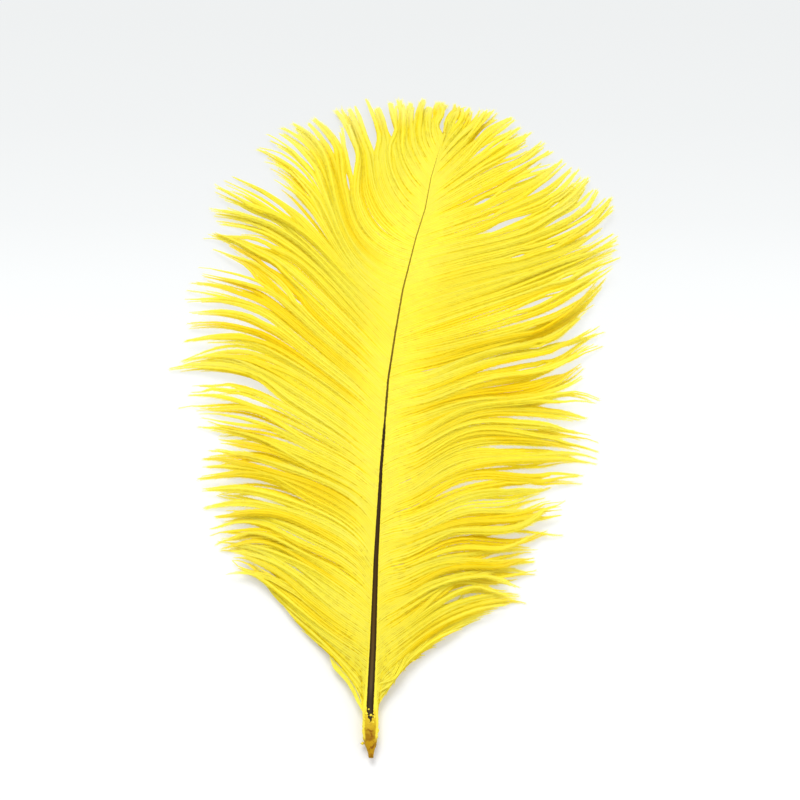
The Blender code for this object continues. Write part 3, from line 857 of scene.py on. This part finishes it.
shaftLook = {
    # the dark band on the back of the shaft, in mm: station and half width
    "bandHalf": [(7.6, 0.0), (9.0, 0.72), (12, 0.85), (25, 0.78), (46, 0.58), (69, 0.4), (79, 0.36),
                 (82, 0.22), (84, 0.3), (93, 0.26), (119, 0.22), (135, 0.16), (154, 0.12), (168, 0.07),
                 (173, 0.04)],
    "around": 20,
    "step": 0.35,
    "flatness": 0.92,
    # the torn end is knobbly up to here, by these shares of the radius and in mm along the shaft
    "knobblyTo": (5.0, 11.0),
    "knobs": 0.11,
    "knobShift": 0.1,
    "seed": 21,
    # the value that marks places off the band, whose edge is at 1
    "offBand": 3.0,
    "fineGrain": (1800, 2),
    "blotches": (900, 4),
    "wobble": 7.0,
    # stretches in mm along the shaft: where each look is still absent, then where it is full
    "toothed": (50, 80),
    "torn": (11.5, 8.5),
    "rimmed": (110, 60),
    "brownTop": (8.5, 5.5),
    "litSides": (3.0, 5.0),
    "dyed": (9.0, 12.0),
    "lumpy": (12, 8),
    "bandRim": (0.03, 0.016, 0.003),
    "skin": (0.98, 0.82, 0.06),
    "tornBrown": (0.24, 0.09, 0.002),
    "tornSides": (0.95, 0.78, 0.06),
    "roughness": 0.5,
    "specular": 0.08,
    "bumpStrength": 0.35,
    "bumpHeight": 0.0002,
    # colour of the middle of the band, by station: the paler middle from about 16 to 29 mm is a painted
    # sheen highlight, and higher up the band's own colour turns lighter
    "bandTintsAndSheen": [(9, (0.04, 0.027, 0.012)), (13, (0.045, 0.03, 0.013)), (16, (0.085, 0.056, 0.022)),
                  (21, (0.09, 0.052, 0.012)), (29, (0.085, 0.042, 0.004)), (42, (0.05, 0.023, 0.002)),
                  (50, (0.036, 0.017, 0.0015)), (79, (0.024, 0.012, 0.0015)), (84, (0.09, 0.055, 0.003)),
                  (95, (0.12, 0.075, 0.004)), (115, (0.2, 0.14, 0.007)), (140, (0.28, 0.2, 0.01)),
                  (165, (0.45, 0.33, 0.015))],
    # colour of the torn end, by station
    "tornTints": [(0, (0.42, 0.22, 0.004)), (2.6, (0.5, 0.29, 0.006)), (3.6, (0.3, 0.14, 0.004)),
                  (5.2, (0.46, 0.27, 0.008)), (6.4, (0.58, 0.38, 0.012)), (9.5, (0.72, 0.52, 0.025))],
    # yellow flakes on the torn end: place x, station, size and height above the floor
    "flakes": [(-1.75, 3.3, 0.55, 1.3), (-1.3, 4.2, 0.45, 2.2), (-0.9, 9.6, 0.5, 3.35),
               (0.1, 9.2, 0.42, 3.5), (-1.3, 8.4, 0.4, 3.0), (0.9, 8.8, 0.4, 3.25),
               (0.6, 7.6, 0.35, 3.3), (-0.4, 10.6, 0.3, 3.5)],
    "flakeStation": 8.5,
}


def addFlake(work, layers, x, station, size, height):
    # a small flat eight-sided chip, coloured all over like one place on the torn end
    points = [(1, 0.1, 0), (0.1, 0.9, 0.1), (-0.9, 0, 0), (0, -0.7, -0.1), (0.1, 0, 0.35), (0, 0.1, -0.35)]
    verts = []
    for px, py, pz in points:
        spot = toWorld(np.array([x + px * size, station + py * size, height + pz * size]))
        vert = work.verts.new(spot)
        vert[layers["bandEdge"]] = shaftLook["offBand"]
        vert[layers["station"]] = shaftLook["flakeStation"]
        vert[layers["aside"]] = 1.0
        verts.append(vert)
    for a, b in ((0, 1), (1, 2), (2, 3), (3, 0)):
        work.faces.new((verts[a], verts[b], verts[4]))
        work.faces.new((verts[b], verts[a], verts[5]))


def makeShaft(material):
    dice = np.random.default_rng(shaftLook["seed"])
    stations = np.arange(0, shaftLine[-1][0] + 0.01, shaftLook["step"])
    band = np.array(shaftLook["bandHalf"])
    bandHalf = np.interp(stations, band[:, 0], band[:, 1], left=0.0)
    x, z, half = shaftAt(stations)
    turns = np.linspace(0, 2 * math.pi, shaftLook["around"], endpoint=False)
    rough = 1 - smooth(*shaftLook["knobblyTo"], stations)
    ringNoise = dice.normal(0, 1, (len(stations), len(turns)))
    for _ in range(2):
        along = np.roll(ringNoise, 1, axis=0)
        around = np.roll(ringNoise, 1, axis=1)
        ringNoise = 0.5 * ringNoise + 0.25 * along + 0.25 * around
    sideX = np.sin(turns) * half[:, None]
    sideZ = np.cos(turns) * half[:, None] * shaftLook["flatness"]
    knobs = 1 + shaftLook["knobs"] * rough[:, None] * ringNoise
    px = x[:, None] + sideX * knobs
    pz = z[:, None] + sideZ * knobs
    py = stations[:, None] + shaftLook["knobShift"] * rough[:, None] * ringNoise
    pz = np.maximum(pz, 0.02)
    spots = toWorld(np.stack([px, py, pz], axis=2))
    work = bmesh.new()
    layers = {label: work.verts.layers.float.new(label) for label in ("bandEdge", "station", "aside")}
    grid = [[work.verts.new(spots[i, j]) for j in range(len(turns))] for i in range(len(stations))]
    for i in range(len(stations)):
        for j in range(len(turns)):
            vert = grid[i][j]
            above = math.cos(turns[j]) > 0
            aside = abs(math.sin(turns[j])) if above else 1.0
            onBand = above and bandHalf[i] > 0.01
            vert[layers["bandEdge"]] = aside * half[i] / bandHalf[i] if onBand else shaftLook["offBand"]
            vert[layers["station"]] = stations[i]
            vert[layers["aside"]] = aside
    for i in range(len(stations) - 1):
        for j in range(len(turns)):
            k = (j + 1) % len(turns)
            work.faces.new((grid[i][j], grid[i][k], grid[i + 1][k], grid[i + 1][j]))
    work.faces.new(list(reversed(grid[0])))
    work.faces.new(grid[-1])
    for flake in shaftLook["flakes"]:
        addFlake(work, layers, *flake)
    bmesh.ops.recalc_face_normals(work, faces=work.faces)
    mesh = bpy.data.meshes.new("shaft")
    work.to_mesh(mesh)
    work.free()
    mesh.shade_smooth()
    mesh.materials.append(material)
    return addObject("shaft", mesh)


def shaftMaterial(grain):
    material, tree, body, _ = shaderStart("shaftHorn", shaftLook)
    edge, along, aside = [stored(tree, label) for label in ("bandEdge", "station", "aside")]
    fine = addGrain(tree, grain, *shaftLook["fineGrain"])
    blotch = addGrain(tree, grain, *shaftLook["blotches"])

    def stretch(label):
        return fade(tree, along, *shaftLook[label])

    # the band's edge is clean low down, ragged at its torn end and toothed by the barbs higher up
    teeth = sloped(tree, stretch("toothed"), 0.6, 0.2)
    teeth = plus(tree, teeth, times(tree, stretch("torn"), 2.2))
    ragged = plus(tree, edge, times(tree, plus(tree, fine, -0.5), teeth))
    outside = fade(tree, ragged, 0.88, 1.08)
    length = shaftLine[-1][0]
    middle = ramp(tree, calc(tree, "DIVIDE", along, length),
                  [(station / length, colour) for station, colour in shaftLook["bandTintsAndSheen"]])
    # painted sheen: low down the band's middle is paler than its dark rim, a painted highlight along the
    # ridge
    rim = times(tree, fade(tree, edge, 0.15, 0.65), stretch("rimmed"))
    band = blend(tree, rim, middle, shaftLook["bandRim"])
    # the torn end's colours come in uneven patches, browner on top and lit up at its sides
    wobble = times(tree, plus(tree, blotch, -0.5), shaftLook["wobble"])
    tornEnd = shaftLook["tornTints"][-1][0]
    torn = ramp(tree, calc(tree, "DIVIDE", plus(tree, along, wobble), tornEnd),
                [(station / tornEnd, colour) for station, colour in shaftLook["tornTints"]])
    brown = times(tree, fade(tree, blotch, 0.45, 0.68), stretch("brownTop"))
    brown = times(tree, brown, fade(tree, aside, 0.8, 0.55))
    torn = blend(tree, brown, torn, shaftLook["tornBrown"])
    lit = times(tree, fade(tree, aside, 0.6, 0.85), stretch("litSides"))
    torn = blend(tree, lit, torn, shaftLook["tornSides"])
    skin = blend(tree, stretch("dyed"), torn, shaftLook["skin"])
    tree.links.new(blend(tree, outside, band, skin), body.inputs["Base Color"])
    lumps = times(tree, blotch, stretch("lumpy"))
    bump = addNode(tree, "ShaderNodeBump", {
        "Strength": shaftLook["bumpStrength"], "Distance": shaftLook["bumpHeight"], "Height": lumps,
    })
    tree.links.new(bump.outputs[0], body.inputs["Normal"])
    return material


studio = {
    "elevation": 62.0,
    "distance": 0.469,
    "lens": 85.0,
    "aim": (0.0004, 0.0, 0.0),
    # the floor by distance in metres, front to back: its colour, and its painted glow, like a light table,
    # so that shadows stay soft away from the quill; both paint the light falling off towards the back
    "floorShadeAndGlow": [(-0.085, (0.74, 0.74, 0.737), 0.08), (-0.05, (0.57, 0.57, 0.567), 0.31),
                   (-0.02, (0.36, 0.36, 0.358), 0.59), (0.035, (0.18, 0.18, 0.18), 0.725),
                   (0.054, (0.16, 0.16, 0.16), 0.7), (0.085, (0.15, 0.15, 0.15), 0.67),
                   (0.12, (0.15, 0.15, 0.15), 0.645)],
    "paintedGlowTint": (0.985, 1.01, 1.015),
    "roughness": 0.7,
    "specular": 0.2,
    "world": 0.74,
    # name, place, size in metres and power in watts
    "lights": [("key", (-0.35, 0.95, 1.6), 1.1, 22.0), ("fill", (1.1, -0.5, 1.3), 1.2, 7.0)],
}


def makeStudio():
    scene = bpy.context.scene
    scene.view_settings.view_transform = "Standard"
    data = bpy.data.cameras.new("camera")
    data.lens = studio["lens"]
    data.sensor_width = 36.0
    data.clip_start = 0.01
    camera = addObject("camera", data)
    up = math.radians(studio["elevation"])
    aim = Vector(studio["aim"])
    camera.location = aim + Vector((0, -math.cos(up), math.sin(up))) * studio["distance"]
    camera.rotation_euler = (aim - camera.location).to_track_quat("-Z", "Y").to_euler()
    scene.camera = camera

    bpy.ops.mesh.primitive_plane_add(size=6, location=(0, 0, -0.0002))
    floor = bpy.context.object
    floor.name = "floor"
    material, tree, body, _ = shaderStart("paleFloor", studio)
    # painted shade and glow: the floor's colour darkens towards the back, where its painted glow makes up
    # for most of it, so the floor grows a little darker towards the back
    split = addNode(tree, "ShaderNodeSeparateXYZ", {0: objectPlace(tree)})
    fades = studio["floorShadeAndGlow"]
    first = fades[0][0]
    last = fades[-1][0]
    farness = addNode(tree, "ShaderNodeMapRange",
                      {"From Min": first, "From Max": last, "Value": split.outputs["Y"]})
    spots = [(far - first) / (last - first) for far, tone, glow in fades]
    tones = [tone for far, tone, glow in fades]
    paintedGlows = [tuple(glow * part for part in studio["paintedGlowTint"]) for far, tone, glow in fades]
    tree.links.new(ramp(tree, farness, list(zip(spots, tones))), body.inputs["Base Color"])
    tree.links.new(ramp(tree, farness, list(zip(spots, paintedGlows))), body.inputs["Emission Color"])
    body.inputs["Emission Strength"].default_value = 1.0
    floor.data.materials.append(material)

    world = bpy.data.worlds.new("softWhite")
    world.use_nodes = True
    sky = world.node_tree.nodes["Background"].inputs
    sky["Color"].default_value = (1, 1, 1, 1)
    sky["Strength"].default_value = studio["world"]
    scene.world = world

    for name, place, size, power in studio["lights"]:
        lamp = bpy.data.lights.new(name, "AREA")
        lamp.size = size
        lamp.energy = power
        holder = addObject(name, lamp)
        holder.location = place
        holder.rotation_euler = (-Vector(place)).to_track_quat("-Z", "Y").to_euler()


def joinBarbs(first, second):
    return {label: np.concatenate([first[label], second[label]]) for label in first}


def main():
    makeStudio()
    print("studio ready")
    grain = grainGroup()
    tree = vaneTree(barbMaterial(grain))
    stretches = [("Lower", 0, 62), ("Middle", 62, 112), ("Upper", 112, 200)]
    sides = [(-1, "left", leftFlow, leftLocks), (1, "right", rightFlow, rightLocks)]
    for side, label, flows, locks in sides:
        top = joinBarbs(growVane(side, flows, locks, barbs["top"]), growLoose(side))
        under = growVane(side, flows, locks, barbs["under"])
        runs = [(label + "Vane" + part, top, first, last) for part, first, last in stretches]
        runs.append((label + "Under", under, 0, 200))
        for name, vane, first, last in runs:
            piece = growPiece(name, barbLines(name + "Guide", vane, first, last), tree)
            dressPiece(piece)
            triangles = len(piece.data.loops) - 2 * len(piece.data.polygons)
            print(piece.name, triangles, "triangles")
    shaft = makeShaft(shaftMaterial(grain))
    dressPiece(shaft)
    print("shaft ready")


main()
